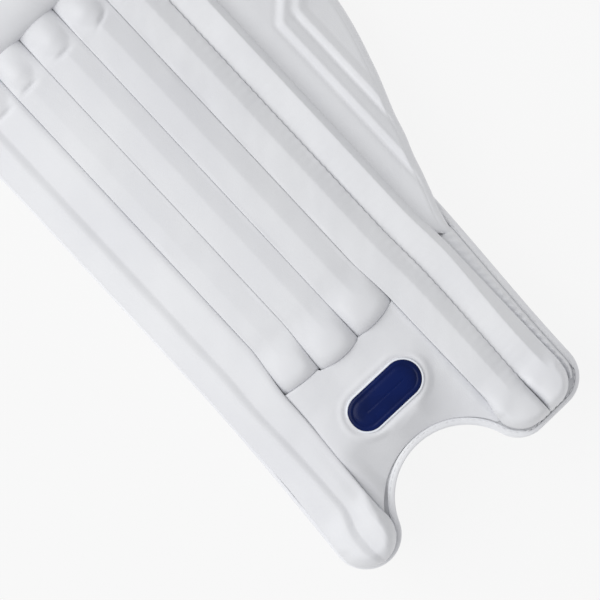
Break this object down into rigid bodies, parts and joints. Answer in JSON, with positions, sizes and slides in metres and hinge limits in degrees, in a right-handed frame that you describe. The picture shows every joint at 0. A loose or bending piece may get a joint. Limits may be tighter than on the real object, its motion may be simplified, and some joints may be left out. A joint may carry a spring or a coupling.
{
  "type": "batting pad",
  "caption": "Cricket leg guard with padded shin ribs, rolls over the knee, a side wing, a raised badge over the instep arch, and padding and straps behind.",
  "frame": {"origin": "middle of the pad's box, on the surface it rests on", "axes": "+Y up the leg from the instep to the thigh, +Z out of the padded front, +X across the face to the side wing"},
  "size_m": [0.2498, 0.685, 0.1033],
  "materials": {
    "leather": "satin white coated leather",
    "tape": "folded white edge tape",
    "lining": "white woven lining",
    "strap": "white woven webbing",
    "badge": "glossy navy"
  },
  "bodies": {
    "root": {"backing_board": "leather", "inner_edge_rib": "leather", "centre_rib_1": "leather", "centre_rib_2": "leather", "centre_rib_3": "leather", "outer_rib": "leather", "wing_rib": "leather", "knee_roll_1": "leather", "knee_roll_2": "leather", "knee_roll_3": "leather", "top_inner_edge_rib": "leather", "top_centre_rib_1": "leather", "top_centre_rib_2": "leather", "top_centre_rib_3": "leather", "top_outer_rib": "leather", "top_wing_rib": "leather", "instep_panel": "leather", "side_wing": "leather", "wing_line_1": "leather", "wing_line_2": "leather", "edge_binding": "tape", "instep_badge": "badge", "back_padding": "lining", "ankle_strap": "strap", "calf_strap": "strap", "knee_strap": "strap"}
  },
  "joints": []
}
